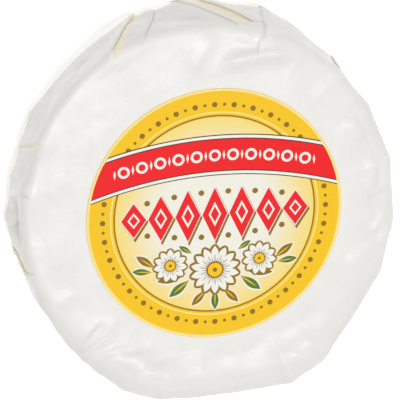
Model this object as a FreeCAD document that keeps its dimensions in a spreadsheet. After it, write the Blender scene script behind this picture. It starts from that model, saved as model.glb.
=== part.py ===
import FreeCAD, Part

import math
import os

import Sketcher
from FreeCAD import Placement, Rotation, Vector

# A small wheel of double cream brie, shut in a sheet of white waxed paper with a round label on its
# face. The paper lies flat on the face, turns over the shoulder and hangs down the side in flat folds.
# On the underside the folds are gathered to the middle. The cheese can't be seen, so paper and cheese
# are one solid. The origin is on the resting plane under the middle of the pack, +Z is up through the
# label, and +Y is the label's top. Bearings run anticlockwise from +X, seen from above. Sizes are in
# millimetres.

# ------------------------------------------------------------------------------------ driving sizes
SIZES = {
    "cheese_dia": 130.0,  # the wheel under its paper, on average
    "out_of_round": 0.024,  # how much longer its long way is, and shorter its short way, as a share
    "long_bearing": 125.0,  # degrees, the bearing of its long way
    "pack_height": 24.5,  # from the resting plane to the label's seat
    "crown_drop": 0.9,  # how far the face falls from the seat to the shoulder
    "shoulder_radius": 4.2,  # rounding between face and side
    "foot_radius": 5.0,  # rounding between side and underside
    "foot_band": 14.0,  # width of the flat band that the pack rests on
    "label_dia": 89.0,
    "label_thick": 0.15,
    "label_off_centre": 1.0,  # how far the label is stuck to the right of the pack's middle
    "seat_margin": 3.0,  # flat paper left round the label
    "fold_step": 0.45,  # paper thickness of one flat fold, three sheets pressed together
    "fold_edge": 0.8,  # degrees that the edge of a fold takes up
    "column_pitch": 5.0,  # degrees between the columns of a stretch of plain paper, at most
    "swirl": 26.0,  # degrees that the folds turn between the resting band and the hub
    "hub_dia": 16.0,  # where the gathered ends meet
    "hub_rise": 1.1,  # how far the hub lies above the resting plane
}

# One row for each fold: its bearing at the shoulder and how far its crest leans by the foot, in
# degrees, how far the crest stands off the cheese at the foot, in millimetres, the share of that which
# it has already at the shoulder, and which way its free edge faces, 1 for anticlockwise and -1 for
# clockwise.
FOLD_FIELDS = ("bearing", "lean", "stand_off", "shoulder_share", "faces")
FOLDS = (
    (13.0, -5.0, 0.7, 0.8, 1),
    (31.0, -3.0, 1.1, 0.8, 1),
    (50.0, -4.0, 2.4, 0.3, 1),
    (72.0, -2.0, 3.4, 0.5, -1),
    (90.0, 4.0, 3.2, 0.3, 1),
    (104.0, -2.0, 2.8, 0.4, 1),
    (116.0, -3.0, 1.8, 0.4, -1),
    (145.0, 3.0, 1.5, 0.1, 1),
    (156.0, 2.0, 0.6, 0.4, 1),
    (168.0, 3.0, 0.8, 0.2, -1),
    (179.0, 4.0, 1.4, 0.2, 1),
    (193.0, 4.0, 2.4, 0.3, 1),
    (207.0, 2.0, 3.0, 0.4, -1),
    (226.0, -3.0, 2.5, 0.8, 1),
    (245.0, 2.0, 5.1, 0.95, 1),
    (263.0, 3.0, 2.5, 0.9, 1),
    (279.0, -2.0, 1.5, 0.8, -1),
    (291.0, 2.0, 4.4, 0.95, 1),
    (302.0, 2.0, 4.9, 0.95, 1),
    (319.0, -3.0, 0.9, 0.7, 1),
    (335.0, 2.0, 0.8, 0.8, -1),
    (352.0, 3.0, 0.6, 0.7, 1),
)

SHOULDER_STEPS = 4
SIDE_STEPS = 4
FOOT_STEPS = 4
GATHER_STEPS = 5

# ------------------------------------------------------------------------- document and spreadsheet
doc = FreeCAD.newDocument("WrappedBrie")
sheet = doc.addObject("Spreadsheet::Sheet", "Sizes")
row = 0
for alias, value in SIZES.items():
    row += 1
    sheet.set(f"A{row}", alias)
    sheet.set(f"B{row}", str(value))
    sheet.setAlias(f"B{row}", alias)
for number, fold in enumerate(FOLDS, 1):
    for field, value in zip(FOLD_FIELDS, fold):
        row += 1
        sheet.set(f"A{row}", f"fold {number} {field}")
        sheet.set(f"B{row}", str(value))
        sheet.setAlias(f"B{row}", f"fold_{number}_{field}")
doc.recompute()


def size(alias):
    """The value of one of the sheet's named cells."""
    return float(getattr(sheet, alias))


# ----------------------------------------------------------------------------------- wrapped cheese
class Station:
    """One ring of the paper: the cheese's radius and height there, and how the folds stand at it."""

    def __init__(
        self, radius, height, lean=0.0, stand_off=0.0, shoulder=0.0, step=0.0, rise=0.0, swirl=0.0
    ):
        self.radius = radius
        self.height = height
        self.lean = lean  # degrees for each degree of a fold's own lean
        self.stand_off = stand_off  # share of a fold's stand-off at the foot
        self.shoulder = shoulder  # 1 at the shoulder and 0 at the foot
        self.step = step  # share of the flat fold's thickness
        self.rise = rise  # how far a fold's low side lies above its crest, on the underside
        self.swirl = swirl  # degrees that every fold has turned


def face_stations():
    """From the rim of the label's seat to the start of the shoulder."""
    seat = size("label_dia") / 2 + size("seat_margin")
    face = size("cheese_dia") / 2 - size("shoulder_radius")
    top = size("pack_height")
    shares = (0.0, 0.55, 1.0)
    return [
        Station(seat + (face - seat) * share, top - size("crown_drop") * share**2)
        for share in shares
    ]


def shoulder_stations():
    """Round the edge between face and side, where the folds begin."""
    radius = size("cheese_dia") / 2
    turn = size("shoulder_radius")
    top = size("pack_height") - size("crown_drop")
    made = []
    for step in range(1, SHOULDER_STEPS + 1):
        share = step / SHOULDER_STEPS
        angle = share * math.pi / 2
        made.append(
            Station(
                radius - turn * (1 - math.sin(angle)),
                top - turn * (1 - math.cos(angle)),
                lean=0.1 * share,
                stand_off=0.25 * share,
                shoulder=share,
                step=share,
            )
        )
    return made


def side_stations():
    """Down the side, where the folds open out."""
    top = size("pack_height") - size("crown_drop") - size("shoulder_radius")
    bottom = size("foot_radius")
    made = []
    for step in range(1, SIDE_STEPS + 1):
        share = step / SIDE_STEPS
        made.append(
            Station(
                size("cheese_dia") / 2,
                top + (bottom - top) * share,
                lean=0.1 + 0.9 * share,
                stand_off=0.25 + 0.75 * share,
                shoulder=1 - share,
                step=1.0,
            )
        )
    return made


def foot_stations():
    """Round the edge between side and underside, and across the flat band that the pack rests on."""
    radius = size("cheese_dia") / 2
    turn = size("foot_radius")
    made = []
    for step in range(1, FOOT_STEPS + 1):
        share = step / FOOT_STEPS
        angle = share * math.pi / 2
        made.append(
            Station(
                radius - turn * (1 - math.cos(angle)),
                turn * (1 - math.sin(angle)),
                lean=1.0,
                stand_off=1 - share,
                step=1 - share,
            )
        )
    made.append(Station(radius - turn - size("foot_band"), 0, lean=1.0))
    return made


def gather_stations():
    """From the resting band to the hub, where the folds turn to the middle and rise a little."""
    outer = size("cheese_dia") / 2 - size("foot_radius") - size("foot_band")
    hub = size("hub_dia") / 2
    made = []
    for step in range(1, GATHER_STEPS + 1):
        share = step / GATHER_STEPS
        made.append(
            Station(
                outer + (hub - outer) * share,
                size("hub_rise") * math.sin(share * math.pi / 2),
                lean=1.0,
                rise=size("fold_step") * math.sin(share * math.pi),
                swirl=size("swirl") * share**1.5,
            )
        )
    return made


def taut(bearing, start, end, disc):
    """Radius of paper pulled tight over a disc from fold to fold, each given as (bearing, radius)."""
    reach_start = math.acos(min(1.0, disc / start[1]))
    reach_end = math.acos(min(1.0, disc / end[1]))
    if start[0] + reach_start > end[0] - reach_end:
        across = math.sin(end[0] - start[0])
        near = start[1] * math.sin(bearing - start[0])
        far = end[1] * math.sin(end[0] - bearing)
        return start[1] * end[1] * across / (near + far)
    if bearing < start[0] + reach_start:
        return disc / math.cos(start[0] + reach_start - bearing)
    if bearing > end[0] - reach_end:
        return disc / math.cos(bearing - end[0] + reach_end)
    return disc


def fold_edges(station):
    """Each fold at a station, as its two edges in order of bearing: ((bearing, radius, height), ...)."""
    edges = []
    half = math.radians(size("fold_edge")) / 2
    for number in range(1, len(FOLDS) + 1):
        bearing, lean, stand_off, shoulder_share, faces = (
            size(f"fold_{number}_{field}") for field in FOLD_FIELDS
        )
        middle = math.radians(bearing + lean * station.lean + station.swirl)
        share = station.stand_off + (1 - station.stand_off) * shoulder_share * station.shoulder
        low = station.radius
        high = low + stand_off * share + size("fold_step") * station.step
        crest = (high, station.height)
        under = (low + (high - low) * 0.35, station.height + station.rise)
        first, second = (crest, under) if faces > 0 else (under, crest)
        edges.append(((middle - half, *first), (middle + half, *second)))
    return edges


def columns_between(gap):
    """How many columns of plain paper lie between two folds that are gap radians apart."""
    return max(2, round(math.degrees(gap) / size("column_pitch")))


def plain_counts():
    """The columns of each stretch between folds. They are the same at every station."""
    bearings = [size(f"fold_{number}_bearing") for number in range(1, len(FOLDS) + 1)]
    following = bearings[1:] + [bearings[0] + 360]
    return [columns_between(math.radians(b - a)) for a, b in zip(bearings, following)]


def placed(bearing, radius, height):
    """A point of the paper, on a wheel that is a little longer one way than the other."""
    turn = bearing - math.radians(size("long_bearing"))
    stretched = radius * (1 + size("out_of_round") * math.cos(2 * turn))
    return Vector(stretched * math.cos(bearing), stretched * math.sin(bearing), height)


def ring(station, counts):
    """The points of one station, all round."""
    edges = fold_edges(station)
    first = edges[0][0]
    closing = (first[0] + 2 * math.pi, *first[1:])
    points = []
    for index, (left, right) in enumerate(edges):
        following = edges[index + 1][0] if index + 1 < len(edges) else closing
        outline = [left, right]
        for step in range(1, counts[index] + 1):
            share = step / (counts[index] + 1)
            bearing = right[0] + (following[0] - right[0]) * share
            radius = taut(bearing, right[:2], following[:2], station.radius)
            height = right[2] + (following[2] - right[2]) * share
            outline.append((bearing, radius, height))
        points += [placed(*point) for point in outline]
    return points


def wrapped_cheese_shape():
    """The whole pack as one closed solid of flat paper facets."""
    stations = face_stations() + shoulder_stations() + side_stations()
    stations += foot_stations() + gather_stations()
    counts = plain_counts()
    rings = [ring(station, counts) for station in stations]
    around = len(rings[0])
    points = [point for points_of_ring in rings for point in points_of_ring]
    facets = []
    for level in range(len(rings) - 1):
        for column in range(around):
            beside = (column + 1) % around
            a, b = level * around + column, level * around + beside
            c, d = a + around, b + around
            facets += [(a, c, b), (b, c, d)]
    for level, outward in ((0, 1), (len(rings) - 1, -1)):
        middle = len(points)
        points.append(Vector(0, 0, stations[level].height))
        for column in range(around):
            a = level * around + column
            b = level * around + (column + 1) % around
            facets.append((middle, a, b) if outward > 0 else (middle, b, a))
    shell = Part.Shape()
    shell.makeShapeFromMesh((points, facets), 0.0001)
    solid = Part.Solid(Part.Shell(shell.Faces))
    if solid.Volume < 0:
        solid.reverse()
    return solid.removeSplitter()


def centred(shape):
    """The placement that puts the middle of the shape's outline over the origin."""
    box = shape.BoundBox
    return Placement(Vector(-box.Center.x, -box.Center.y, -box.ZMin), Rotation())


wrapped_cheese = doc.addObject("Part::Feature", "WrappedCheese")
wrapped_cheese.Label = "wrapped_cheese"
wrapped_cheese.Shape = wrapped_cheese_shape()
wrapped_cheese.Placement = centred(wrapped_cheese.Shape)

# -------------------------------------------------------------------------------------- round label
round_label = doc.addObject("PartDesign::Body", "RoundLabel")
round_label.Label = "round_label"
outline = round_label.newObject("Sketcher::SketchObject", "LabelOutline")
plane = next(f for f in round_label.Origin.OriginFeatures if f.Role == "XY_Plane")
outline.AttachmentSupport = [(plane, "")]
outline.MapMode = "FlatFace"
outline.addGeometry(Part.Circle(Vector(0, 0, 0), Vector(0, 0, 1), size("label_dia") / 2), False)
outline.addConstraint(Sketcher.Constraint("Coincident", 0, 3, -1, 1))
diameter = outline.addConstraint(Sketcher.Constraint("Diameter", 0, size("label_dia")))
outline.setExpression(f"Constraints[{diameter}]", "Sizes.label_dia")
pad = round_label.newObject("PartDesign::Pad", "LabelPaper")
pad.Profile = outline
pad.setExpression("Length", "Sizes.label_thick")
round_label.setExpression("Placement.Base.x", "Sizes.label_off_centre")
round_label.setExpression("Placement.Base.z", "Sizes.pack_height")

# ---------------------------------------------------------------------------------- check and write
doc.recompute()
failed = [o.Name for o in doc.Objects if {"Invalid", "Error"} & set(o.State)]
if failed:
    raise RuntimeError(f"these objects failed to build: {failed}")
sub_parts = (wrapped_cheese, round_label)
for sub_part in sub_parts:
    shape = sub_part.Shape
    if shape.isNull() or not shape.isValid() or len(shape.Solids) != 1:
        raise RuntimeError(f"{sub_part.Label} isn't one valid solid")
os.makedirs("parts", exist_ok=True)
for sub_part in sub_parts:
    sub_part.Shape.exportStep(f"parts/{sub_part.Label}.step")
    box = sub_part.Shape.BoundBox
    faces = len(sub_part.Shape.Faces)
    print(
        f"{sub_part.Label}: {box.XLength:.2f} x {box.YLength:.2f} x {box.ZLength:.2f} mm, "
        f"{sub_part.Shape.Volume / 1000:.1f} cm3, {faces} faces"
    )
    print(
        f"  X {box.XMin:.2f}..{box.XMax:.2f}  Y {box.YMin:.2f}..{box.YMax:.2f}  "
        f"Z {box.ZMin:.2f}..{box.ZMax:.2f}"
    )
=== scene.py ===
"""A wrapped double cream brie: pleated waxed paper round the cheese, and a printed round label on it."""

import math

import bmesh
import bpy
import numpy as np
from mathutils import Matrix, Vector, noise


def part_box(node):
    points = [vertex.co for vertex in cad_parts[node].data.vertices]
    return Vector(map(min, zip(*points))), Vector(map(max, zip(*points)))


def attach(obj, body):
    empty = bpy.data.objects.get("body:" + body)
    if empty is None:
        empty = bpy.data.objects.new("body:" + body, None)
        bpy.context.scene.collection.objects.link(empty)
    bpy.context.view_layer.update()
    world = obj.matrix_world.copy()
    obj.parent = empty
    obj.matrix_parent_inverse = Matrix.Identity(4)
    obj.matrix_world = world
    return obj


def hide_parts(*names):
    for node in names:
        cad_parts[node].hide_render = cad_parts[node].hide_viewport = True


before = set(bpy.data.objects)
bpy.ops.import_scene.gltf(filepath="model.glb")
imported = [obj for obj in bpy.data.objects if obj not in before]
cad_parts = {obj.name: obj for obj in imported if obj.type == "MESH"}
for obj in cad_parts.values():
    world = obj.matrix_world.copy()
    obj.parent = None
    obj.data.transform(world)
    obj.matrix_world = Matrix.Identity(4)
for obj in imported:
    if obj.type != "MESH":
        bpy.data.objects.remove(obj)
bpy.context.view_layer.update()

# The paper is worked out in millimetres and written in metres. Bearings are measured anticlockwise from
# +X, in radians unless a comment says degrees.
MM = 0.001
FULL_TURN = 2 * math.pi
LABEL_LOW, LABEL_HIGH = (np.array(corner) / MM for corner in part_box("round_label"))
LABEL_MIDDLE = (LABEL_LOW[:2] + LABEL_HIGH[:2]) / 2
LABEL_RADIUS = (LABEL_HIGH[0] - LABEL_LOW[0]) / 2
SEAT_HEIGHT = LABEL_LOW[2]

# ------------------------------------------------------------------------------------- the cheese's form
# Lengths are in millimetres.
BODY_RADIUS = 65.5
OUT_OF_ROUND = 0.024  # how much longer the wheel's long way is, as a share
LONG_BEARING = math.radians(125)
TIGHT_BEARING = math.radians(130)  # where the edge of the face is tightest
NEAR_BULGE = 1.2  # how much further the paper stands out opposite the tight edge
TIGHT_TURN = 2.2  # the shoulder's radius at the tight edge
MORE_TURN = 4.6  # how much larger it is opposite
TIGHT_FALL = 0.6  # how far the face falls from the label's seat to the tight edge
MORE_FALL = 1.8  # how much further it falls opposite
SEAT_MARGIN = 3.0  # how far the flat seat goes on past the label
FOOT_RADIUS = 5.0
HUB_RADIUS = 6.0
HUB_HEIGHT = 0.4  # the middle of the hub, nearer the floor than the paper round it
UNDER_HEIGHT = 0.75  # the innermost paper of the underside, over the pressed folds
FLOOR_GAP = 0.02  # the lowest that any paper lies

# Where the wall is flatter than round, or fuller: the bearing of the middle and half the width (degrees),
# and how far it lies in (less than 0 for out).
FLATS = ((160.0, 14.0, 1.0), (125.0, 15.0, -0.7))

# The parts of the profile, each with how far down the side it starts (0 the edge of the face to 1 the
# foot) and how much of the way it covers.
DESCENTS = {
    "face": (0, 0),
    "shoulder": (0, 0.18),
    "side": (0.18, 0.64),
    "foot": (0.82, 0.18),
    "under": (1, 0),
}
# The rings of paper: on the face by their share of its radius, and on the other parts by their count.
FACE_RINGS = (0.1, 0.25, 0.4, 0.52, 0.62, 0.69, *np.linspace(0.72, 1, 26))
OTHER_RINGS = (("shoulder", 8), ("side", 22), ("foot", 8), ("under", 34))

# --------------------------------------------------------------------------------------------- the folds
# Each fold has, in this order:
# - the bearing of its crest at the shoulder and at the foot (degrees)
# - how far the crest stands off the cheese at each (mm)
# - how wide its flap is at the foot (mm)
# - how far its mouth gapes at the shoulder and at the foot (mm)
# - how far down the side the flap begins (0 the edge of the face to 1 the foot)
# - how late it leans (1 evenly, more is later)
# - which way its free edge faces (1 anticlockwise, -1 clockwise)
# - how far it runs on over the face (mm)
FOLD_FIELDS = "top foot top_off foot_off flap gape foot_gape start bend faces reach".split()
FOLD_VALUES = (
    (12.0, 8.0, 0.5, 1.2, 4.0, 0.3, 0.2, 0.17, 1.0, 1, 9.0),
    (30.0, 27.0, 0.4, 1.2, 3.5, 0.3, 0.3, 0.22, 1.0, 1, 7.0),
    (46.0, 44.0, 0.7, 1.5, 3.0, 0.2, 0.2, 0.15, 1.0, 1, 8.0),
    (60.0, 61.0, 1.0, 3.4, 0.0, 0.1, 0.1, 0.45, 1.0, -1, 6.0),
    (74.2, 70.5, 2.0, 4.8, 2.5, 0.1, 0.1, 0.00, 1.0, 1, 3.5),
    (75.0, 96.0, 1.4, 4.9, 6.0, 2.4, 1.1, 0.24, 2.0, 1, 2.5),
    (81.5, 100.0, 0.4, 5.2, 1.3, 0.3, 0.2, 0.10, 1.7, 1, 2.0),
    (113.0, 101.5, 0.6, 3.0, 2.5, 0.2, 0.2, 0.04, 0.6, -1, 2.0),
    (120.3, 106.0, 1.2, 3.3, 4.5, 1.0, 0.8, 0.02, 1.2, -1, 2.5),
    (150.5, 149.0, 0.4, 1.9, 0.0, 0.1, 0.1, 0.60, 1.0, 1, 3.0),
    (152.8, 161.0, 0.8, 0.6, 3.0, 0.5, 0.2, 0.02, 1.0, 1, 3.0),
    (168.0, 163.5, 0.6, 0.6, 0.0, 0.1, 0.1, 0.10, 1.0, -1, 3.0),
    (170.0, 169.0, 0.6, 1.0, 1.5, 0.1, 0.1, 0.02, 1.0, 1, 3.0),
    (186.0, 174.0, 0.3, 0.6, 0.0, 0.1, 0.1, 0.02, 1.0, -1, 3.0),
    (190.0, 180.5, 0.3, 2.8, 0.0, 0.1, 0.1, 0.50, 0.8, -1, 2.0),
    (195.5, 191.0, 0.6, 1.7, 3.0, 0.9, 0.7, 0.06, 1.0, -1, 1.5),
    (207.0, 210.0, 1.2, 2.9, 0.0, 0.1, 0.1, 0.25, 1.0, -1, 5.0),
    (226.0, 223.0, 2.2, 3.1, 4.0, 0.2, 0.2, 0.20, 1.0, 1, 9.0),
    (235.0, 233.0, 3.0, 2.0, 3.0, 0.1, 0.1, 0.26, 1.0, 1, 8.0),
    (244.5, 244.0, 4.9, 3.0, 3.5, 0.2, 0.25, 0.18, 1.0, 1, 7.0),
    (254.5, 256.0, 4.5, 2.6, 3.0, 0.1, 0.1, 0.17, 1.0, 1, 6.0),
    (266.0, 268.0, 2.4, 1.8, 4.0, 0.25, 0.2, 0.22, 1.0, 1, 8.0),
    (279.0, 277.0, 2.0, 1.4, 3.0, 0.1, 0.1, 0.15, 1.0, -1, 6.0),
    (294.0, 295.0, 5.2, 3.2, 3.5, 0.2, 0.2, 0.20, 1.0, 1, 7.0),
    (304.5, 303.0, 4.4, 3.0, 3.0, 0.1, 0.1, 0.26, 1.0, 1, 6.0),
    (319.0, 317.0, 1.2, 2.0, 4.0, 0.25, 0.25, 0.18, 1.0, 1, 9.0),
    (335.0, 337.0, 1.2, 1.8, 3.0, 0.3, 0.2, 0.17, 1.0, -1, 9.0),
    (352.0, 354.0, 0.5, 0.8, 3.0, 0.1, 0.1, 0.22, 1.0, 1, 9.0),
)
FOLDS = [dict(zip(FOLD_FIELDS, values)) for values in FOLD_VALUES]
FLARE = 2.0  # how late the crests leave their line at the shoulder for their line at the foot
GROWTH = 0.22  # how much further down the side a flap has its full width
GROWTH_POWER = 0.6  # under 1, a flap widens fast at first
CREST_START = 2.0  # how far past the label the crests on the face start (mm)
CREST_GROWN = 12.0  # and how far past it they have their full height
FOOT_HOLD = 0.3  # how far round the foot the folds stand off before they are pressed flat
MET_ROOM = 0.42  # how much of the way to the next crest a flap may take, if that one's comes to meet it
FREE_ROOM = 0.75  # and if it doesn't
OPEN_FLAP = 1.5  # the flap's width at which its layers are fully apart (mm)
TINT_GAPES = (0.08, 0.4)  # the gapes between which a fold's cream comes into view: the paper's inside and painted shade (mm)
PRESSED = 0.36  # how far a pressed flap stands over the paper beside it (mm)
PRESSED_FALL = 2.5  # how far behind the flap that has died away (mm)
BEAD = 0.55  # how far a flap bulges behind its mouth, as a share of the gape
WIDEST_BEAD = 0.9  # the gape past which a flap bulges no more (mm)
BEAD_TOP, BEAD_END = 1.1, 3.0  # where behind the mouth the bulge is highest, and where it ends (mm)
DIP = 0.14  # how far the paper under a flap is drawn in, as a share of the gape
DIP_LOST = 0.9  # the share of that which is gone at the flap's hidden end
MOUTH, MOUTH_SPREAD = 1.5, 2.5  # how far out of the mouth the dip reaches (mm), and how many gapes more
THIN_FLAP = 0.1  # a narrower flap counts as this wide, where a length is measured in flaps (mm)
BAND = 2.6  # how far a fold's cream, the paper's inside and painted shade, shows out of its mouth, as a share of the gape
BAND_EDGE = 0.8  # how soft that band's edge is (mm)
PAPER = 0.2  # through the two layers at a flap's edge (mm)
LIP = 0.12  # how far a flap's rounded edge stands past its crest (mm)
HIDDEN_SHARES = (0.0, 0.12, 0.35, 0.65)  # where the columns of a flap's hidden layer lie
HIDDEN_SHADES = (0.0, 0.6, 1.0, 1.0, 1.0)  # how far inside the fold they are, with the lip's column first

# Under the pack the folds gather evenly round the hub and turn, and their flaps widen.
UNDER_FLAP = 9.0  # how much wider a flap grows towards the hub (mm)
SWIRL = math.radians(26)  # how far the folds turn under the pack
SWIRL_POWER = 1.5  # over 1, most of the turn is near the hub
EVEN_START = 0.3  # the bearing of the first even place, in folds
EVEN_BY = 0.7  # how far towards the hub the folds are evenly spaced

RUN_PITCH = 0.5  # degrees between the columns of plain paper
FEWEST_COLUMNS = 5
MEAN_STEPS = 24  # bearings over which a ring's mean radius is taken
NEARLY_NONE = 1e-9  # added to a length that may be 0, before it divides another
WELD = 2e-6  # points nearer than this become one (m)
NO_LENGTH = 1e-7  # shorter edges are dissolved (m)
SHARP = math.radians(50)  # edges at least this sharp aren't shaded smooth

# ------------------------------------------------------------------------------------- bows and wrinkles
STREAK_BEARING = math.radians(28)  # the way the paper's long soft folds run
STREAK_LENGTH = 2.6  # how many times longer than wide they are
# The paper's bows: how far each kind stands off, how wide it is (mm) and the seed of its noise.
BOWS = ((0.36, 13, 3.1), (0.11, 5, 7.7))
WALL_BOW = 0.8  # how much more the wall bows than the face
SMOOTH_EDGE, WRINKLED_EDGE = 1.5, 7.0  # how far past the label the wrinkles start, and are full (mm)
UNDER_FADE = 0.2  # how far under the pack they end, as a share of the way to the hub
TAPER = 0.3  # the share of a wrinkle's length over which each end fades

# Wrinkles of the face. Each runs from one point to another (mm from the pack's middle), bows to its left
# (mm), and stands up by a height (mm). It falls off over one distance to its left and another to its right
# (mm).
FACE_WRINKLES = (
    # the pillow over the label's top, and the small folds beside it
    (1, 52.5, 30, 54, 2.0, 2.2, 1.9, 3.4),
    (3, 64, -8, 50, -0.5, 0.7, 2.2, 5.0),
    (8, 65, 14, 60, 0.5, 0.5, 1.0, 2.5),
    (17, 59.5, 34, 54.5, 0.8, 0.6, 1.3, 2.5),
    # the crumpled right-hand side
    (57, 18, 57, 2, 0.5, 0.9, 1.5, 3.0),
    (62, 16, 62, 2, 0.5, 0.9, 1.5, 2.5),
    (54, 0, 65, 2, 0.3, -0.8, 1.0, 3.0),
    (62, -3, 56, -13, 0.5, 0.9, 2.0, 1.3),
    (64, -8, 59, -17, 0.5, 0.9, 2.0, 1.3),
    (48, 31, 55, 22, -0.5, 0.7, 1.5, 3.0),
    (47, -23, 62, -15, 0.8, 0.7, 2.0, 4.0),
    # the fan at the lower left
    (-46, -44, -37, -35, 0.3, 0.8, 0.9, 2.2),
    (-46, -47, -33, -38, 0.5, 0.9, 0.9, 2.2),
    (-45, -49, -30, -45, 0.5, 0.9, 1.0, 2.4),
    (-42, -51, -20, -48, 0.8, 0.8, 1.2, 3.5),
    # the long soft folds along the bottom
    (-30, -58, 0, -50, 1.0, 0.6, 1.6, 6.0),
    (-16, -61, 16, -54, 0.8, 0.4, 2.0, 6.0),
    (27, -53, 38, -54, -0.3, 0.7, 1.5, 4.0),
    (27, -53, 27, -64, 0.3, 0.5, 1.5, 3.0),
    (42, -50, 37, -58, 0.3, 0.5, 1.5, 3.0),
    # the left-hand side
    (-51, 27, -40, 30, -0.3, 0.3, 2.5, 4.0),
    (-57, 10, -49, 18, 0.5, 0.35, 2.5, 5.0),
)
# Ripples of the wall: the bearing and height of each end (degrees and mm), and how far it stands up and
# falls off on either side, as above.
WALL_RIPPLES = (
    (132, 15, 126, 11, -0.6, 2.0, 2.5),
    (87, 19, 105, 8, -0.5, 4.5, 5.0),
    (115, 18, 109, 8, 0.7, 2.5, 3.5),
    (171, 14, 191, 18, -1.0, 1.5, 3.0),
    (170.5, 20, 176, 3, 0.7, 0.7, 1.8),
    (177, 19, 188, 4, 0.7, 0.7, 2.0),
    (140, 9, 132, 18, 0.3, 3.0, 3.0),
    (147, 17, 143, 6, 0.25, 3.0, 2.0),
    (66, 16, 64, 5, 0.3, 2.0, 2.0),
    (73.2, 23, 70.4, 4, 0.6, 0.7, 1.0),
)


def smooth(low, high, value):
    """0 at low and under, 1 at high and over, and an easy curve between."""
    share = np.clip((value - low) / (high - low), 0, 1)
    return share * share * (3 - 2 * share)


def off_tight(bearing):
    """0 where the edge of the face is tightest and 1 on the other side of the wheel."""
    return (1 - np.cos(bearing - TIGHT_BEARING)) / 2


class Level:
    """One ring of the paper. Its part and share say how far it lies round the profile of the pack."""

    def __init__(self, part, share):
        start, span = DESCENTS[part]
        self.part = part
        self.share = share
        self.descent = start + span * share

    def body(self, bearing):
        """The cheese's radius and height at each bearing, and the radial and upward parts of its normal."""
        one = np.ones_like(bearing)
        radius = BODY_RADIUS * (1 + OUT_OF_ROUND * np.cos(2 * (bearing - LONG_BEARING)))
        radius = radius + NEAR_BULGE * off_tight(bearing)
        for middle, half_width, depth in FLATS:
            away = (bearing - math.radians(middle) + math.pi) % FULL_TURN - math.pi
            across = np.clip(away / math.radians(half_width), -1, 1)
            radius = radius - depth * np.cos(across * math.pi / 2) ** 2
        turn = TIGHT_TURN + MORE_TURN * off_tight(bearing)
        rim = SEAT_HEIGHT - TIGHT_FALL - MORE_FALL * off_tight(bearing)
        edge = radius - turn
        angle = self.share * math.pi / 2
        if self.part == "face":
            seat = LABEL_RADIUS + SEAT_MARGIN
            fall = np.clip((edge * self.share - seat) / (edge - seat), 0, 1)
            return edge * self.share, SEAT_HEIGHT - (SEAT_HEIGHT - rim) * fall**2, 0 * one, one
        if self.part == "shoulder":
            side, up = math.sin(angle), math.cos(angle)
            return edge + turn * side, rim - turn * (1 - up), side * one, up * one
        if self.part == "side":
            high = rim - turn
            low = UNDER_HEIGHT + FOOT_RADIUS
            return radius, high + (low - high) * self.share, one, 0 * one
        if self.part == "foot":
            side, down = math.cos(angle), math.sin(angle)
            height = UNDER_HEIGHT + FOOT_RADIUS * (1 - down)
            return radius - FOOT_RADIUS * (1 - side), height * one, side * one, -down * one
        inward = (radius - FOOT_RADIUS) * (1 - self.share) + HUB_RADIUS * self.share
        return inward, UNDER_HEIGHT * one, 0 * one, -one


def paper_levels():
    """The rings in order, from the middle of the face to the hub of the underside."""
    made = [Level("face", share) for share in FACE_RINGS]
    for part, count in OTHER_RINGS:
        made += [Level(part, step / count) for step in range(1, count + 1)]
    return made


class Fold:
    """One fold at one level: its crest, and the flap that hides the next stretch of paper under it.

    Numbers below 0 or past the last fold mean the same folds, counted a full turn away.
    """

    def __init__(self, number, level):
        turn, which = divmod(number, len(FOLDS))
        values = FOLDS[which]
        lean = (values["foot"] - values["top"]) * level.descent ** values["bend"]
        grown = smooth(values["start"], values["start"] + GROWTH, level.descent)
        self.bearing = math.radians(values["top"] + lean + 360 * turn)
        self.off = values["top_off"] + (values["foot_off"] - values["top_off"]) * level.descent**FLARE
        self.flap = values["flap"] * float(grown) ** GROWTH_POWER
        self.gape = values["gape"] + (values["foot_gape"] - values["gape"]) * level.descent
        self.faces = values["faces"]
        if level.part == "face":
            inward = (1 - level.share) * BODY_RADIUS
            out = BODY_RADIUS - inward
            clear = float(smooth(LABEL_RADIUS + CREST_START, LABEL_RADIUS + CREST_GROWN, out))
            self.off *= clear * math.exp(-((inward / values["reach"]) ** 2))
        if level.part == "foot":
            held = 1 - float(smooth(FOOT_HOLD, 1, level.share))
            self.off *= held
            self.gape *= held
        if level.part == "under":
            even = FULL_TURN * (number + EVEN_START) / len(FOLDS)
            self.bearing += (even - self.bearing) * float(smooth(0, EVEN_BY, level.share))
            self.bearing += SWIRL * level.share**SWIRL_POWER
            self.off = 0.0
            self.gape = 0.0
            self.flap += UNDER_FLAP * level.share

    def settle(self, before, after, radius):
        """Keep the flap clear of the neighbouring folds, and find how far it is open and where it ends."""
        beside = before if self.faces > 0 else after
        room = abs(self.bearing - beside.bearing) * radius
        self.flap = min(self.flap, room * (MET_ROOM if beside.faces != self.faces else FREE_ROOM))
        self.open = float(smooth(0, OPEN_FLAP, self.flap))
        self.tint = self.open * float(smooth(*TINT_GAPES, self.gape))
        self.under = self.bearing - self.faces * self.flap / radius


def taut(along, length, start, end, radius):
    """Height of paper pulled tight over a round body from one raised point to another."""
    reach_start = math.sqrt(2 * radius * start) + NEARLY_NONE
    reach_end = math.sqrt(2 * radius * end) + NEARLY_NONE
    if reach_start + reach_end > length:
        return start + (end - start) * along / length - along * (length - along) / (2 * radius)
    near = start * np.clip(1 - along / reach_start, 0, 1) ** 2
    return near + end * np.clip(1 - (length - along) / reach_end, 0, 1) ** 2


def ridge(bearing, folds, radius):
    """How far paper pulled over every crest stands off the cheese, at each bearing."""
    bearing = np.atleast_1d(np.asarray(bearing, dtype=float))
    height = np.zeros_like(bearing)
    for left, right in zip(folds, folds[1:]):
        here = (bearing >= left.bearing) & (bearing < right.bearing)
        along = (bearing[here] - left.bearing) * radius
        length = (right.bearing - left.bearing) * radius
        height[here] = taut(along, length, left.off, right.off, radius)
    return height


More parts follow.
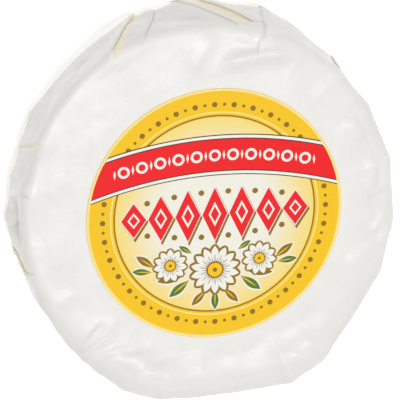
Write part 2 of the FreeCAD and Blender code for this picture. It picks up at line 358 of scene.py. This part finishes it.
class Run:
    """A stretch of plain paper at one level, from one fold to the next."""

    def __init__(self, left, right, folds, radius):
        left_hidden = left.faces > 0
        right_hidden = right.faces < 0
        self.radius = radius
        self.folds = folds
        self.start = left.under if left_hidden else left.bearing
        self.end = right.under if right_hidden else right.bearing
        self.sides = ((left, left_hidden, 1), (right, right_hidden, -1))

    def height(self, bearing):
        """How far the paper stands off the cheese."""
        height = ridge(bearing, self.folds, self.radius)
        for fold, hidden, way in self.sides:
            past = way * (np.atleast_1d(bearing) - fold.bearing) * self.radius
            if hidden:
                shut = 1 - DIP_LOST * np.clip(-past / max(fold.flap, THIN_FLAP), 0, 1)
                mouth = 1 - smooth(0, MOUTH + MOUTH_SPREAD * fold.gape, past)
                height = height - DIP * fold.open * fold.gape * np.minimum(shut, mouth)
            else:
                pressed = 1 - smooth(fold.flap, fold.flap + PRESSED_FALL, past)
                bulge = smooth(0, BEAD_TOP, past) * (1 - smooth(BEAD_TOP, BEAD_END, past))
                height = height + PRESSED * fold.open * pressed
                height = height + BEAD * fold.open * min(fold.gape, WIDEST_BEAD) * bulge
        return height

    def shade(self, bearing):
        """1 where the paper lies deep under a gaping flap, 0 in the open."""
        shade = np.zeros(np.shape(bearing))
        for fold, hidden, way in self.sides:
            if hidden:
                past = way * (bearing - fold.bearing) * self.radius
                band = BAND * fold.gape
                shade = np.maximum(shade, fold.tint * (1 - smooth(band, band + BAND_EDGE, past)))
        return shade


def hidden_layer(fold, before, after, radius):
    """The columns between a fold's crest and its hidden end, in the order of the bearings' own run."""
    outer, inner = (before, after) if fold.faces > 0 else (after, before)
    shares = np.array(HIDDEN_SHARES)
    bearing = fold.bearing - fold.faces * fold.flap * shares / radius
    over = outer.height(bearing) - PAPER * fold.open
    drop = outer.height(fold.under)[0] - PAPER * fold.open - inner.height(fold.under)[0]
    height = over - shares**2 * drop
    lip = fold.bearing + fold.faces * LIP * fold.open / radius
    lip_height = outer.height(fold.bearing)[0] - PAPER / 2 * fold.open
    shade = fold.tint * np.array(HIDDEN_SHADES)
    layer = np.array([np.append(lip, bearing), np.append(lip_height, height), shade])
    return layer if fold.faces > 0 else layer[:, ::-1]


def run_counts():
    """The number of columns in the stretch that follows each fold, the same at every level."""
    counts = []
    for number, fold in enumerate(FOLDS):
        turn, which = divmod(number + 1, len(FOLDS))
        after = FOLDS[which]
        widest = max(after["top"] - fold["top"], after["foot"] - fold["foot"]) + 360 * turn
        counts.append(max(FEWEST_COLUMNS, round(widest / RUN_PITCH)))
    return counts


def paper_ring(level, counts):
    """Every column of one ring, as arrays of bearing, height off the cheese, and shade inside the folds."""
    around = np.linspace(0, FULL_TURN, MEAN_STEPS, endpoint=False)
    radius = float(np.mean(level.body(around)[0]))
    folds = [Fold(number, level) for number in range(-2, len(FOLDS) + 2)]
    for before, fold, after in zip(folds, folds[1:], folds[2:]):
        fold.settle(before, after, radius)
    inner = folds[1:-1]
    runs = [Run(left, right, folds, radius) for left, right in zip(inner, inner[1:])]
    columns = []
    for fold, before, after, count in zip(inner[1:-1], runs, runs[1:], counts):
        columns.append(hidden_layer(fold, before, after, radius))
        bearing = np.linspace(after.start, after.end, count)
        columns.append(np.array([bearing, after.height(bearing), after.shade(bearing)]))
    return np.concatenate(columns, axis=1)


# --------------------------------------------------------------------------------------- the wrap's mesh
def waves(point, size, seed):
    """Smooth noise of about the given size in millimetres, between -1 and 1."""
    return noise.noise(Vector((point[0] / size + seed, point[1] / size, point[2] / size)))


def crease_lift(points, start, end, bow, lift, left, right):
    """How far a wrinkle lifts each point of a plane. It is a ridge along a bowed line."""
    start = np.array(start, dtype=float)
    end = np.array(end, dtype=float)
    length = np.linalg.norm(end - start)
    along = (end - start) / length
    across = np.array([-along[1], along[0]])
    share = np.clip((points - start) @ along / length, 0, 1)
    aside = (points - start) @ across - bow * (1 - (2 * share - 1) ** 2)
    fall = np.where(aside > 0, left, right)
    ends = smooth(0, TAPER, share) * (1 - smooth(1 - TAPER, 1, share))
    return lift * ends * np.exp(-((aside / fall) ** 2))


def wall_lift(base):
    """How far the ripples lift each point of the wall, which is unrolled into a plane first."""
    bearing = np.degrees(np.arctan2(base[:, 1], base[:, 0])) % 360
    unrolled = np.stack([bearing * math.radians(BODY_RADIUS), base[:, 2]], axis=1)
    lift = 0.0
    for start_bearing, start_z, end_bearing, end_z, height, left, right in WALL_RIPPLES:
        start = (math.radians(start_bearing) * BODY_RADIUS, start_z)
        end = (math.radians(end_bearing) * BODY_RADIUS, end_z)
        lift = lift + crease_lift(unrolled, start, end, 0, height, left, right)
    return lift


def buckles(base, level):
    """How far the paper bows and wrinkles out of its taut form at each point of one ring."""
    clear = 1.0
    if level.part == "face":
        from_label = np.hypot(base[:, 0] - LABEL_MIDDLE[0], base[:, 1] - LABEL_MIDDLE[1])
        clear = smooth(LABEL_RADIUS + SMOOTH_EDGE, LABEL_RADIUS + WRINKLED_EDGE, from_label)
    if level.part == "under":
        clear = 1 - float(smooth(0, UNDER_FADE, level.share))
    way = np.array([math.cos(STREAK_BEARING), math.sin(STREAK_BEARING), 0])
    streaked = base - (1 - 1 / STREAK_LENGTH) * np.outer(base @ way, way)
    bow = [sum(height * waves(point, size, seed) for height, size, seed in BOWS) for point in streaked]
    lift = np.array(bow) * (1 + WALL_BOW * (level.part in ("side", "foot")))
    if level.part in ("face", "shoulder"):
        for x0, y0, x1, y1, curve, height, left, right in FACE_WRINKLES:
            lift = lift + crease_lift(base[:, :2], (x0, y0), (x1, y1), curve, height, left, right)
    if level.part in ("side", "shoulder", "foot"):
        lift = lift + wall_lift(base)
    return clear * lift


def sheet_faces(rings, around):
    """The quads between neighbouring rings, and the triangles that close the face's middle and the hub."""
    faces = []
    for ring in range(rings - 1):
        for column in range(around):
            beside = (column + 1) % around
            here = ring * around
            faces.append((here + column, here + around + column, here + around + beside, here + beside))
    last = (rings - 1) * around
    middle = rings * around
    hub = middle + 1
    faces += [(middle, column, (column + 1) % around) for column in range(around)]
    faces += [(hub, last + (column + 1) % around, last + column) for column in range(around)]
    return faces


def wrap_mesh():
    """The whole paper as one closed surface.

    It stores where each point lies on the flat sheet, and how far inside a fold; the material paints cream
    there, partly the paper's inside and partly painted shade.
    """
    counts = run_counts()
    levels = paper_levels()
    points, shades, sheet = [], [], []
    reach = 0.0  # how far the ring lies from the sheet's middle, along the paper
    last_ring = None
    for level in levels:
        bearing, height, shade = paper_ring(level, counts)
        radius, rise, side, up = level.body(bearing)
        rise = rise * np.ones_like(bearing)
        base = np.stack([radius * np.cos(bearing), radius * np.sin(bearing), rise], axis=1)
        upward = up * np.ones_like(bearing)
        normal = np.stack([side * np.cos(bearing), side * np.sin(bearing), upward], axis=1)
        placed = base + normal * (height + buckles(base, level))[:, None]
        placed[:, 2] = np.maximum(placed[:, 2], FLOOR_GAP)
        ring = np.stack([radius, rise], axis=1).mean(axis=0)
        reach += np.linalg.norm(ring - (last_ring if last_ring is not None else (0, ring[1])))
        last_ring = ring
        sheet.append(np.stack([reach * np.cos(bearing), reach * np.sin(bearing), 0 * bearing], axis=1))
        points.append(placed)
        shades.append(shade)
    faces = sheet_faces(len(levels), len(points[0]))
    points = np.concatenate([*points, [[0, 0, SEAT_HEIGHT], [0, 0, HUB_HEIGHT]]])
    mesh = bpy.data.meshes.new("paper_wrap")
    mesh.from_pydata((points * MM).tolist(), [], faces)
    inside_and_shade = mesh.attributes.new("fold_inside_and_shade", "FLOAT", "POINT")
    inside_and_shade.data.foreach_set("value", np.concatenate([*shades, [0.0, 0.0]]))
    flat = mesh.attributes.new("sheet", "FLOAT_VECTOR", "POINT")
    flat.data.foreach_set("vector", np.concatenate([*sheet, np.zeros((2, 3))]).ravel() * MM)
    return mesh


def finish_mesh(mesh):
    """Weld what coincides, shade smooth, and keep the edges of the folds sharp."""
    made = bmesh.new()
    made.from_mesh(mesh)
    bmesh.ops.remove_doubles(made, verts=made.verts, dist=WELD)
    bmesh.ops.dissolve_degenerate(made, edges=made.edges, dist=NO_LENGTH)
    bmesh.ops.recalc_face_normals(made, faces=made.faces)
    for face in made.faces:
        face.smooth = True
    for edge in made.edges:
        if len(edge.link_faces) == 2:
            edge.smooth = edge.calc_face_angle(0) < SHARP
    made.to_mesh(mesh)
    made.free()


def add_object(name, data):
    """A new object in the scene, from a mesh, camera or light."""
    piece = bpy.data.objects.new(name, data)
    bpy.context.scene.collection.objects.link(piece)
    return piece


wrap = wrap_mesh()
finish_mesh(wrap)
paper_wrap = add_object("paper_wrap", wrap)
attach(paper_wrap, "root")
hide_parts("wrapped_cheese")


# --------------------------------------------------------------------------------------------- the label
# The print is a design of simple shapes. Each ink is a film on the label's paper, and what lies over
# another ink is a film higher. Places are in millimetres from the label's middle, to the right and up.
LABEL_TOP = LABEL_HIGH[2]
LABEL_STEPS, FIELD_STEPS, RING_STEPS = 200, 120, 160  # the points round the largest circles
FILM = 0.02
PRINT_MARGIN = 0.1  # how far inside the label's edge the print stops
PRINT_RADIUS = LABEL_RADIUS - PRINT_MARGIN
RIM = 0.8  # width of the pale line round the edge
FIELD_RADIUS = 34.5
RINGS = ((0.7, "gold"), (1.9, "pale"))  # the lines round the field: how far out of it, and their ink
RING_WIDTH = 0.5
BEADS = 72
BEAD_RING = 38.9  # the radius of the ring that they stand in
LARGE_BEAD, SMALL_BEAD = 0.95, 0.55
LOZENGE_PITCH = 9.4
LOZENGE_HEIGHT = 19.0  # the middle one's
LOZENGE_LESS = 0.75  # how much shorter the next one is, growing with the square of the number
# A lozenge's shadow, edge and three fills: ink, film, width, height as a share of the whole, how much is
# added to that, and how far it lies to the right and down.
LOZENGE_LAYERS = (
    ("gold", 2, 9.35, 1.0, 1.6, 0.5, 0.8),
    ("cream", 3, 9.35, 1.0, 1.2, 0.0, 0.0),
    ("red", 4, 8.7, 1.0, 0.0, 0.0, 0.0),
    ("cream", 5, 4.4, 0.46, 0.0, 0.0, 0.0),
    ("red", 6, 2.9, 0.30, 0.0, 0.0, 0.0),
)
DOT_RADIUS = 1.0
DOT_OFF = 8.0  # how far the dots between the lozenges lie off the row's middle line
DOT_LESS = 0.35  # and how much nearer it they come, growing with the square of the number
ARCH_TOP, ARCH_BOTTOM = 26.5, 15.5
ARCH_RISE = -7.0  # how far the arch's ends lie under its middle
# The arch's edges and fill: ink, film and margin.
ARCH_LAYERS = (("brown", 3, 1.7), ("cream", 4, 1.35), ("brown", 5, 0.35), ("red", 6, 0.0))
ARCH_SAMPLES = 400  # points across the label at which the arch's edges are worked out
ARCH_STEP = 6  # and every how many of them are kept
LINK_PITCH = 6.3
LINK_RADIUS, LINK_HOLE = 2.1, 1.2
LINK_BAR = (0.9, 3.4)  # the width and height of the small lozenge between two rings
LEAF_SHAPE = 0.34  # a leaf's width, as a share of its length
# The leaves on the right of the flowers, which the left mirrors: foot, bearing (degrees), length and ink.
LEAVES = (
    (10, -19.0, 14, 9.5, "gold"),
    (10, -20.5, -12, 10.5, "gold"),
    (9, -23.0, -38, 9.0, "green"),
    (21, -17.5, 36, 8.0, "gold"),
    (22, -19.0, 6, 7.0, "green"),
    (3, -27.0, -46, 7.5, "gold"),
    (8, -13.5, 34, 5.5, "green"),
)
LOWEST_LEAF = (7.5, 2.6, (0, -27.0), -90, "green")
# The flowers: radius, middle and number of petals.
FLOWERS = ((8.6, (0, -20.0), 14), (5.9, (-15.6, -17.2), 11), (5.9, (15.6, -17.2), 11))
FLOWER_FILM = 3  # the films under the flowers, for the leaves
# A flower's petals: ink, film, length as a share of its radius, and width as a share of the petals' pitch.
PETAL_LAYERS = (("cream", 4, 1.0, 0.66), ("silver", 5, 0.68, 0.14))
# A flower's eye: ink, film, radius as a share of the flower's, and steps round it.
EYE_LAYERS = (("gold", 6, 0.36, 28), ("yellow", 7, 0.29, 28), ("gold", 8, 0.09, 16))
PETAL_FULLEST = 0.7  # where along a petal it is widest
# A flower's scalloped edge: its radius at the notches, and how much more it is between them, as shares.
SCALLOPS = (0.90, 0.17)
# A leaf's edge, its own shape and its split middle: film, length and width as shares of the leaf's, and
# where it is widest.
LEAF_EDGE = (3, 1.06, 1.4, 0.55)
LEAF_SELF = (4, 1.0, 1.0, 0.55)
LEAF_SPLIT = (5, 0.8, 0.16, 0.5)


def circle(radius, middle=(0, 0), steps=64, start=0, end=360):
    """Points of a circle or an arc, anticlockwise between two bearings in degrees."""
    whole = abs(end - start) >= 360
    angles = np.radians(np.linspace(start, end, steps, endpoint=not whole))
    return [(middle[0] + radius * math.cos(a), middle[1] + radius * math.sin(a)) for a in angles]


def petal(length, width, middle, bearing, fullest=0.5, steps=14):
    """A leaf or petal that starts at a point and grows along a bearing in degrees."""
    power = math.log(0.5) / math.log(fullest)
    sides = [(t, width / 2 * math.sin(math.pi * t**power)) for t in np.linspace(0, 1, steps)]
    shape = sides + [(t, -w) for t, w in reversed(sides[1:-1])]
    turn = math.radians(bearing)
    return [
        (
            middle[0] + length * t * math.cos(turn) - w * math.sin(turn),
            middle[1] + length * t * math.sin(turn) + w * math.cos(turn),
        )
        for t, w in shape
    ]


def lozenge(width, height, middle):
    """A square on its corner, stretched to a width and height."""
    x, y = middle
    return [(x + width / 2, y), (x, y + height / 2), (x - width / 2, y), (x, y - height / 2)]


def arch(top, bottom, rise, grow=0.0, radius=PRINT_RADIUS - RIM):
    """A band that bows across the label, cut off by the label's edge and grown by a margin."""
    edges = []
    for level in (top + grow, bottom - grow):
        u = np.linspace(-radius, radius, ARCH_SAMPLES)
        v = level + rise * (u / radius) ** 2
        kept = np.hypot(u, v) <= radius
        edges.append(list(zip(u[kept], v[kept])))
    upper, lower = edges
    ends = [math.degrees(math.atan2(point[1], point[0])) for point in (lower[-1], upper[-1])]
    right_arc = circle(radius, steps=12, start=ends[0], end=ends[1])[1:-1]
    left_arc = [(-x, y) for x, y in reversed(right_arc)]
    below = lower[::ARCH_STEP] + [lower[-1]]
    above = upper[::-ARCH_STEP] + [upper[0]]
    return below + right_arc + above + left_arc


def daisy(radius, middle, petals):
    """A flower, as its inked shapes from the bottom up."""
    turns = np.linspace(0, FULL_TURN, petals * 10, endpoint=False)
    edge = radius * (SCALLOPS[0] + SCALLOPS[1] * np.abs(np.cos(petals * turns / 2)))
    scallops = [(middle[0] - r * math.sin(a), middle[1] + r * math.cos(a)) for r, a in zip(edge, turns)]
    shapes = [("gold", 3, scallops)]
    pitch = radius * FULL_TURN / petals
    for number in range(petals):
        bearing = 90 + 360 * number / petals
        for ink, film, long, wide in PETAL_LAYERS:
            shape = petal(radius * long, wide * pitch, middle, bearing, PETAL_FULLEST)
            shapes.append((ink, film, shape))
    for ink, film, share, steps in EYE_LAYERS:
        shapes.append((ink, film, circle(radius * share, middle, steps)))
    return shapes


def leaf(length, width, middle, bearing, ink):
    """A leaf with a pale edge and a split middle."""
    layers = (("cream", LEAF_EDGE), (ink, LEAF_SELF), ("yellow", LEAF_SPLIT))
    return [
        (layer_ink, film, petal(length * long, width * wide, middle, bearing, fullest))
        for layer_ink, (film, long, wide, fullest) in layers
    ]


def lozenge_row():
    """The row of lozenges across the label's middle, and the dots between them."""
    shapes = []
    for number in range(-3, 4):
        tall = LOZENGE_HEIGHT - LOZENGE_LESS * number**2
        for ink, film, width, share, more, over, down in LOZENGE_LAYERS:
            middle = (number * LOZENGE_PITCH + over, -down)
            shapes.append((ink, film, lozenge(width, tall * share + more, middle)))
    for number in range(-3, 3):
        for up in (-1, 1):
            off = DOT_OFF - DOT_LESS * (number + 0.5) ** 2
            shapes.append(("gold", 2, circle(DOT_RADIUS, ((number + 0.5) * LOZENGE_PITCH, up * off), 20)))
    return shapes


def arch_place(u):
    """The middle of the arch at a distance across the label."""
    return u, (ARCH_TOP + ARCH_BOTTOM) / 2 + ARCH_RISE * (u / PRINT_RADIUS) ** 2


def arch_shapes():
    """The red arch with its edges, and the row of rings and small lozenges along it."""
    shapes = [(ink, film, arch(ARCH_TOP, ARCH_BOTTOM, ARCH_RISE, grow)) for ink, film, grow in ARCH_LAYERS]
    for number in range(-5, 6):
        place = arch_place(number * LINK_PITCH)
        shapes.append(("cream", 7, circle(LINK_RADIUS, place, 32)))
        shapes.append(("red", 8, circle(LINK_HOLE, place, 24)))
    for number in range(-6, 6):
        shapes.append(("cream", 7, lozenge(*LINK_BAR, arch_place((number + 0.5) * LINK_PITCH))))
    return shapes


def print_shapes():
    """Everything printed over the label's yellow, as (ink, film, outline)."""
    shapes = [("field", 1, circle(FIELD_RADIUS, steps=FIELD_STEPS))]
    for number in range(BEADS):
        turn = FULL_TURN * number / BEADS
        place = (BEAD_RING * math.cos(turn), BEAD_RING * math.sin(turn))
        shapes.append(("gold", 1, circle(SMALL_BEAD if number % 2 else LARGE_BEAD, place, 14)))
    shapes += lozenge_row()
    shapes += arch_shapes()
    # three daisies in a bed of leaves
    for side in (-1, 1):
        across = 90 - side * 90
        for x, y, bearing, length, ink in LEAVES:
            shapes += leaf(length, length * LEAF_SHAPE, (side * x, y), across + side * bearing, ink)
    shapes += leaf(*LOWEST_LEAF)
    for flower in FLOWERS:
        shapes += [(ink, film + FLOWER_FILM, outline) for ink, film, outline in daisy(*flower)]
    return shapes


# The inks, in the order of the label's material slots: linear red, green and blue, and for the field a
# second colour that it changes to towards its rim.
INK_COLOURS = {
    "yellow": ((0.95, 0.58, 0.012), None),
    "pale": ((0.97, 0.80, 0.30), None),
    "field": ((0.90, 0.88, 0.78), (0.95, 0.74, 0.22)),
    "gold": ((0.29, 0.165, 0.012), None),
    "brown": ((0.05, 0.022, 0.008), None),
    "cream": ((0.92, 0.90, 0.82), None),
    "silver": ((0.50, 0.50, 0.50), None),
    "red": ((0.90, 0.010, 0.014), None),
    "green": ((0.10, 0.20, 0.03), None),
}
INKS = tuple(INK_COLOURS)


def film_of_ink(made, outline, high, ink, hole=None, low=LABEL_TOP):
    """A closed film of ink between two heights, with straight sides and perhaps a hole."""
    area = sum(a[0] * b[1] - b[0] * a[1] for a, b in zip(outline, outline[1:] + outline[:1]))
    outline = outline if area > 0 else outline[::-1]
    rings = []
    for rim in [outline] + ([hole] if hole else []):
        places = [(x + LABEL_MIDDLE[0], y + LABEL_MIDDLE[1]) for x, y in rim]
        for z in (low, high):
            rings.append([made.verts.new((x * MM, y * MM, z * MM)) for x, y in places])
    faces = []
    if hole:
        bands = ((rings[0], rings[1]), (rings[1], rings[3]), (rings[3], rings[2]), (rings[2], rings[0]))
    else:
        bands = ((rings[0], rings[1]),)
        faces += [made.faces.new(rings[0][::-1]), made.faces.new(rings[1])]
    for lower, upper in bands:
        for number in range(len(lower)):
            beside = (number + 1) % len(lower)
            faces.append(made.faces.new((lower[number], lower[beside], upper[beside], upper[number])))
    for face in faces:
        face.material_index = INKS.index(ink)


def label_mesh():
    """The label's paper with every film of ink on it."""
    made = bmesh.new()
    film_of_ink(made, circle(LABEL_RADIUS, steps=LABEL_STEPS), LABEL_TOP, "yellow", low=LABEL_LOW[2])
    rim = circle(PRINT_RADIUS, steps=LABEL_STEPS)
    hole = circle(PRINT_RADIUS - RIM, steps=LABEL_STEPS)
    film_of_ink(made, rim, LABEL_TOP + FILM, "pale", hole)
    for out, ink in RINGS:
        outer = circle(FIELD_RADIUS + out, steps=RING_STEPS)
        hole = circle(FIELD_RADIUS + out - RING_WIDTH, steps=RING_STEPS)
        film_of_ink(made, outer, LABEL_TOP + FILM, ink, hole)
    for ink, film, outline in print_shapes():
        film_of_ink(made, outline, LABEL_TOP + (film + 1) * FILM, ink)
    mesh = bpy.data.meshes.new("label_print")
    made.to_mesh(mesh)
    made.free()
    return mesh


label_print = add_object("label_print", label_mesh())
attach(label_print, "root")
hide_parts("round_label")


# --------------------------------------------------------------------------------------------- materials
# Colours are linear red, green, blue and alpha, and lengths are in metres.
PAPER_DULL = (0.825, 0.816, 0.786, 1)
PAPER_BRIGHT = (0.865, 0.858, 0.835, 1)
# The cream in a fold's mouth: partly the paper's inside, partly painted shade where the folds gape.
PAPER_INSIDE_AND_SHADE = (0.79, 0.735, 0.59, 1)
PRICK_TONE = (0.55, 0.52, 0.46, 1)
PRICK_DARKNESS = 0.09
PRICK_PITCH = 0.0042
PRICK_RADII = (0.035, 0.085)  # where a hole's edge starts and ends, in pitches
# The scales of the noise textures (per metre).
CLOUDS = 75.0
WAX = 190.0
CRUMPLES = 130.0
FIBRES = 2600.0
MOTTLE = 1500.0
# The reliefs: their strength and their depth.
CRUMPLE_RELIEF = (0.15, 0.0012)
FIBRE_RELIEF = (0.12, 0.0002)
PRICK_RELIEF = (0.3, 0.0001)
INK_RELIEF = (0.08, 0.0002)
# Painted light: in the folds an emission glow stands in for the light that comes through the thin paper.
PAINTED_GLOW_COLOUR = (1.0, 0.92, 0.74, 1)  # the light that comes through the thin paper into its folds
PAINTED_GLOW_STRENGTH = 0.12
NOISE_SPAN = (0.3, 0.7)  # most of a noise texture's values lie between these
WAX_ROUGHNESS = (0.34, 0.5)  # where the wax is glossiest and where it is dullest
FIELD_BLEND = (0.017, 0.036)  # how far out the field starts to turn to its second colour, and has turned
INK_MOTTLE = (0.95, 1.0)  # how the mottle darkens an ink


class Nodes:
    """A new material's Principled shader, with calls that add nodes and wire them."""

    def __init__(self, name):
        self.material = bpy.data.materials.new(name)
        self.material.use_nodes = True
        self.tree = self.material.node_tree
        self.shader = self.tree.nodes["Principled BSDF"]

    def add(self, kind, inputs, **settings):
        """Add a node. An input is another node's output or a value."""
        made = self.tree.nodes.new(kind)
        for key, value in settings.items():
            setattr(made, key, value)
        for key, value in inputs.items():
            if isinstance(value, bpy.types.NodeSocket):
                self.tree.links.new(value, made.inputs[key])
            else:
                made.inputs[key].default_value = value
        return made

    def place(self):
        """The point's own place on the object."""
        return self.add("ShaderNodeTexCoord", {}).outputs["Object"]

    def stored(self, name):
        """A value stored in the mesh."""
        return self.add("ShaderNodeAttribute", {}, attribute_name=name, attribute_type="GEOMETRY").outputs

    def noise(self, place, scale, detail, **more):
        """A noise texture, where more gives its further inputs."""
        inputs = {"Vector": place, "Scale": scale, "Detail": detail, **more}
        return self.add("ShaderNodeTexNoise", inputs).outputs["Fac"]

    def spread(self, value, before, after=(0.0, 1.0), **settings):
        """Map a value from one span to another."""
        inputs = {"Value": value, "From Min": before[0], "From Max": before[1], "To Min": after[0],
                  "To Max": after[1]}
        return self.add("ShaderNodeMapRange", inputs, **settings).outputs["Result"]

    def mix(self, share, first, second, **settings):
        """Mix two colours. The sockets have numbers, because the node has several of each name."""
        inputs = {0: share, 6: first, 7: second}
        return self.add("ShaderNodeMix", inputs, data_type="RGBA", **settings).outputs[2]

    def vector(self, operation, first, second=(0.0, 0.0, 0.0)):
        """A vector's arithmetic."""
        return self.add("ShaderNodeVectorMath", {0: first, 1: second}, operation=operation).outputs

    def times(self, value, factor):
        """A value times a factor."""
        return self.add("ShaderNodeMath", {0: value, 1: factor}, operation="MULTIPLY").outputs[0]

    def bump(self, height, strength, distance, under=None, **settings):
        """Relief of a height, over another relief where one is given."""
        inputs = {"Height": height, "Strength": strength, "Distance": distance}
        if under is not None:
            inputs["Normal"] = under
        return self.add("ShaderNodeBump", inputs, **settings).outputs[0]

    def surface(self, **values):
        """Set or wire the shader's own sockets, and give the material. An underscore stands for a space."""
        for key, value in values.items():
            socket = self.shader.inputs[key.replace("_", " ")]
            if isinstance(value, bpy.types.NodeSocket):
                self.tree.links.new(value, socket)
            else:
                socket.default_value = value
        return self.material


def waxed_paper():
    """White waxed paper: cloudy, fibrous and finely pricked, satin on top, with cream in its folds that is
    partly the paper's inside and partly painted shade, and a painted glow there.
    """
    nodes = Nodes("waxed_paper")
    place = nodes.place()
    sheet = nodes.stored("sheet")["Vector"]
    inside_and_shade = nodes.stored("fold_inside_and_shade")["Fac"]
    cloudy = nodes.spread(nodes.noise(place, CLOUDS, detail=5.0, Roughness=0.6), NOISE_SPAN)
    white = nodes.mix(cloudy, PAPER_DULL, PAPER_BRIGHT)
    # Painted shade: by the fold mask, the white turns cream in the folds' mouths, which also stands for the
    # paper's inside.
    cream = nodes.mix(inside_and_shade, white, PAPER_INSIDE_AND_SHADE)
    # the prick holes, in rows over the whole sheet
    cell = nodes.vector("DIVIDE", sheet, (PRICK_PITCH, PRICK_PITCH, 1.0))[0]
    corner = nodes.vector("FRACTION", cell)[0]
    off_hole = nodes.vector("DISTANCE", corner, (0.5, 0.5, 0.0))["Value"]
    hole = nodes.spread(off_hole, PRICK_RADII, (1.0, 0.0))
    tone = nodes.mix(nodes.times(hole, PRICK_DARKNESS), cream, PRICK_TONE)
    # wax lies thicker in some places, so the gloss varies
    gloss = nodes.spread(nodes.noise(place, WAX, detail=3.0), NOISE_SPAN, WAX_ROUGHNESS)
    # crumples, fibres and the holes' rims in relief
    crumple = nodes.noise(place, CRUMPLES, detail=3.0, Roughness=0.55, Distortion=0.6)
    crumpled = nodes.bump(crumple, *CRUMPLE_RELIEF)
    fibrous = nodes.bump(nodes.noise(place, FIBRES, detail=3.0), *FIBRE_RELIEF, crumpled)
    pricked = nodes.bump(hole, *PRICK_RELIEF, fibrous, invert=True)
    return nodes.surface(
        Base_Color=tone,
        # Painted light: the folds glow by the fold mask.
        Emission_Color=PAINTED_GLOW_COLOUR,
        Emission_Strength=nodes.times(inside_and_shade, PAINTED_GLOW_STRENGTH),
        Roughness=gloss,
        Normal=pricked,
        Specular_IOR_Level=0.3,
        Subsurface_Weight=0.35,
        Subsurface_Radius=(1.0, 0.9, 0.75),
        Subsurface_Scale=0.0010,
    )


def printed_paper(name, colour, rim_colour=None):
    """Printed label paper: the ink's colour with the print's faint mottle, under a satin varnish."""
    nodes = Nodes("label_" + name)
    place = nodes.place()
    base = (*colour, 1)
    if rim_colour:
        middle = (LABEL_MIDDLE[0] * MM, LABEL_MIDDLE[1] * MM, LABEL_TOP * MM)
        away = nodes.vector("DISTANCE", place, middle)["Value"]
        turned = nodes.spread(away, FIELD_BLEND, interpolation_type="SMOOTHSTEP")
        base = nodes.mix(turned, base, (*rim_colour, 1))
    mottle = nodes.noise(place, MOTTLE, detail=3.0)
    shade = nodes.spread(mottle, NOISE_SPAN, INK_MOTTLE)
    return nodes.surface(
        Base_Color=nodes.mix(1.0, base, shade, blend_type="MULTIPLY"),
        Normal=nodes.bump(mottle, *INK_RELIEF),
        Roughness=0.55,
        Specular_IOR_Level=0.2,
    )


paper_wrap.data.materials.append(waxed_paper())
for name in INKS:
    label_print.data.materials.append(printed_paper(name, *INK_COLOURS[name]))


# --------------------------------------------------------------------------------------- floor and light
FLOOR_RADIUS = 3.0
FLOOR_COLOUR = (0.93, 0.93, 0.93, 1)
FLOOR_GLOW = (1.0, 0.985, 0.95, 1)
FLOOR_GLOW_STRENGTH = 0.38
SKY_STRENGTH = 0.29


def add_floor():
    """A wide pale floor that glows a little, so that it stays white beside the lit pack."""
    made = bmesh.new()
    bmesh.ops.create_circle(made, cap_ends=True, radius=FLOOR_RADIUS, segments=96)
    mesh = bpy.data.meshes.new("floor")
    made.to_mesh(mesh)
    made.free()
    piece = add_object("floor", mesh)
    white = Nodes("floor_white").surface(
        Base_Color=FLOOR_COLOUR,
        Roughness=0.9,
        Emission_Color=FLOOR_GLOW,
        Emission_Strength=FLOOR_GLOW_STRENGTH,
    )
    mesh.materials.append(white)


add_floor()

# The view: tilted off the face's normal towards a bearing at the label's upper left, with the label's top
# up. Lengths are in metres, and the sensor is in millimetres.
TILT = math.radians(23.83)
LEAN = math.radians(34.7)
ROLL = math.radians(37.24)
DISTANCE = 1.3
VIEW_WIDTH = 0.135272  # how much the camera sees across, at the pack
VIEW_RIGHT, VIEW_UP = -0.00497, 0.0047  # how far the view's middle lies from the label's
SENSOR = 36
FURTHEST = 20  # how far the camera sees, which takes in the floor's far edge from every side
towards = Vector((-math.sin(LEAN), math.cos(LEAN), 0))
across = Vector((math.cos(LEAN), math.sin(LEAN), 0))
sight = math.sin(TILT) * towards + Vector((0, 0, math.cos(TILT)))
upright = math.cos(TILT) * towards - Vector((0, 0, math.sin(TILT)))
right = math.cos(ROLL) * across - math.sin(ROLL) * upright
top = math.sin(ROLL) * across + math.cos(ROLL) * upright


def add_camera():
    """The camera, which looks along the line of sight at a point near the label's middle."""
    camera = bpy.data.cameras.new("camera")
    camera.sensor_width = SENSOR
    camera.lens = SENSOR * DISTANCE / VIEW_WIDTH
    camera.clip_end = FURTHEST
    piece = add_object("camera", camera)
    target = Vector((*(LABEL_MIDDLE * MM), SEAT_HEIGHT * MM)) + VIEW_RIGHT * right + VIEW_UP * top
    place = target + DISTANCE * sight
    piece.matrix_world = Matrix.Translation(place) @ Matrix((right, top, sight)).transposed().to_4x4()
    bpy.context.scene.camera = piece


def softbox(name, direction, distance, size, power):
    """A square area light that faces the pack from a direction."""
    light = bpy.data.lights.new(name, "AREA")
    light.shape = "SQUARE"
    light.size = size
    light.energy = power
    piece = add_object(name, light)
    direction = Vector(direction).normalized()
    piece.location = direction * distance
    piece.rotation_euler = direction.to_track_quat("Z", "Y").to_euler()


add_camera()
softbox("key_light", sight * 0.87 - top * 0.36 + right * 0.26, distance=1.2, size=0.36, power=9.0)
softbox("fill_light", sight * 0.9 + top * 0.35 + right * 0.25, distance=1.4, size=0.9, power=2.1)

world = bpy.data.worlds.new("studio")
bpy.context.scene.world = world
world.use_nodes = True
background = world.node_tree.nodes["Background"]
background.inputs["Color"].default_value = (1, 1, 1, 1)
background.inputs["Strength"].default_value = SKY_STRENGTH
bpy.context.scene.view_settings.view_transform = "Standard"
